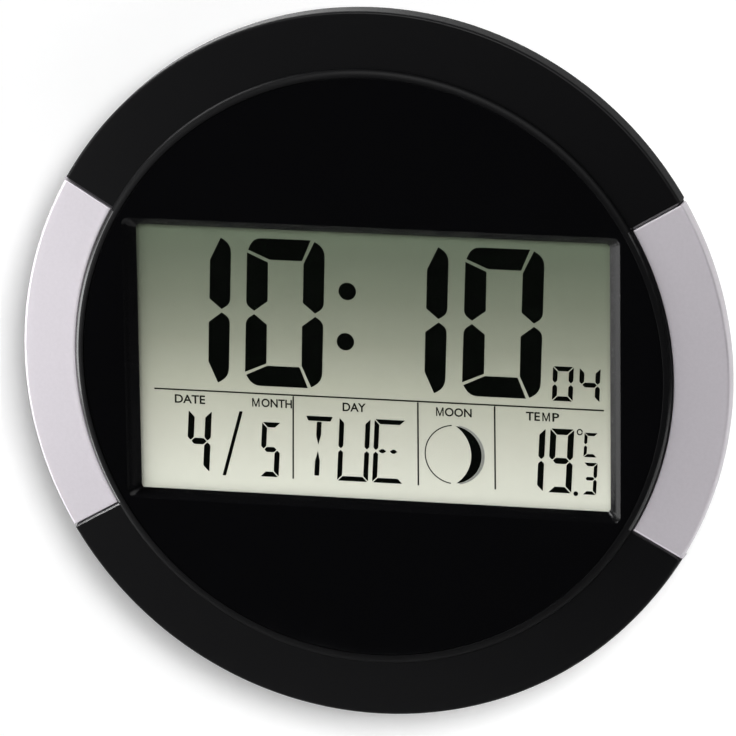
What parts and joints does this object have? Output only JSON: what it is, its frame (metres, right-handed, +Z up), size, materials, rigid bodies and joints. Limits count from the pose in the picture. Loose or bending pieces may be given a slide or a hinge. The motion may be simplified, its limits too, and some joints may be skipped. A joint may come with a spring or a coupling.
{
  "type": "digital wall clock",
  "caption": "Round digital wall clock: black bezel ring with silver side trims, glossy panel with a sloped window over a liquid crystal display, rear cover with keys and a battery door.",
  "frame": {"origin": "middle of the flat back of the rear cover, which lies on the wall", "axes": "+Z up, +Y out of the back into the wall, the display faces -Y, +X to the viewer's right"},
  "size_m": [0.3006, 0.0334, 0.3006],
  "materials": {
    "satin_black": "satin moulded black",
    "silver_paint": "satin silver paint on plastic",
    "gloss_black": "high gloss black",
    "clear_acrylic": "clear polished",
    "display_glass": "grey green polarised",
    "reflector_film": "pale diffusing film",
    "grey_rubber": "silicone strip",
    "dark_plastic": "fine textured dark grey",
    "circuit_board": "green solder resist",
    "black_epoxy": "moulded black resin",
    "nickel_plate": "nickel plated",
    "zinc_plate": "zinc plated",
    "ferrite": "sintered dark grey",
    "copper_winding": "enamelled copper wire",
    "cell_jacket": "plain blue film jacket",
    "key_plastic": "satin grey",
    "white_plastic": "plain white",
    "red_insulation": "wire insulation",
    "black_insulation": "wire insulation",
    "grey_insulation": "flat cable insulation"
  },
  "bodies": {
    "case": {"bezel_ring": "satin_black", "trim_right": "silver_paint", "trim_left": "silver_paint", "front_panel": "gloss_black", "display_lens": "clear_acrylic", "lcd_front_glass": "display_glass", "lcd_rear_glass": "display_glass", "lcd_reflector": "reflector_film", "zebra_connector": "grey_rubber", "display_tray": "dark_plastic", "main_board": "circuit_board", "driver_chip": "black_epoxy", "receiver_chip": "black_epoxy", "quartz_can": "nickel_plate", "temperature_sensor": "black_epoxy", "antenna_rod": "ferrite", "antenna_coil": "copper_winding", "antenna_lead": "black_insulation", "rear_cover": "dark_plastic", "cell_upper": "cell_jacket", "cell_lower": "cell_jacket", "contact_bridge": "nickel_plate", "contact_positive": "nickel_plate", "contact_negative": "nickel_plate", "battery_lead_red": "red_insulation", "battery_lead_black": "black_insulation", "key_ribbon": "grey_insulation", "key_board": "circuit_board", "set_switch": "black_epoxy", "plus_switch": "black_epoxy", "minus_switch": "black_epoxy", "wave_switch": "black_epoxy", "unit_switch": "black_epoxy", "cover_screw_1": "zinc_plate", "cover_screw_2": "zinc_plate", "cover_screw_3": "zinc_plate", "cover_screw_4": "zinc_plate", "cover_screw_5": "zinc_plate", "cover_screw_6": "zinc_plate", "tray_screw_1": "zinc_plate", "tray_screw_2": "zinc_plate", "tray_screw_3": "zinc_plate", "tray_screw_4": "zinc_plate", "board_screw_1": "zinc_plate", "board_screw_2": "zinc_plate", "board_screw_3": "zinc_plate", "board_screw_4": "zinc_plate", "key_board_screw_1": "zinc_plate", "key_board_screw_2": "zinc_plate"},
    "battery_door": {"battery_door": "dark_plastic"},
    "set_key": {"set_key": "key_plastic", "set_plunger": "white_plastic"},
    "plus_key": {"plus_key": "key_plastic", "plus_plunger": "white_plastic"},
    "minus_key": {"minus_key": "key_plastic", "minus_plunger": "white_plastic"},
    "wave_key": {"wave_key": "key_plastic", "wave_plunger": "white_plastic"},
    "unit_key": {"unit_key": "key_plastic", "unit_plunger": "white_plastic"}
  },
  "joints": [
    {"name": "door_slide", "type": "slide", "parent": "case", "child": "battery_door", "axis": [0, 0, -1], "range_m": [0, 0.036]},
    {"name": "set_press", "type": "slide", "parent": "case", "child": "set_key", "axis": [0, -1, 0], "range_m": [0, 0.0005], "stiffness_N_per_m": 1200, "springref_m": -0.001},
    {"name": "plus_press", "type": "slide", "parent": "case", "child": "plus_key", "axis": [0, -1, 0], "range_m": [0, 0.0005], "stiffness_N_per_m": 1200, "springref_m": -0.001},
    {"name": "minus_press", "type": "slide", "parent": "case", "child": "minus_key", "axis": [0, -1, 0], "range_m": [0, 0.0005], "stiffness_N_per_m": 1200, "springref_m": -0.001},
    {"name": "wave_press", "type": "slide", "parent": "case", "child": "wave_key", "axis": [0, -1, 0], "range_m": [0, 0.0005], "stiffness_N_per_m": 1200, "springref_m": -0.001},
    {"name": "unit_press", "type": "slide", "parent": "case", "child": "unit_key", "axis": [0, -1, 0], "range_m": [0, 0.0005], "stiffness_N_per_m": 1200, "springref_m": -0.001}
  ]
}
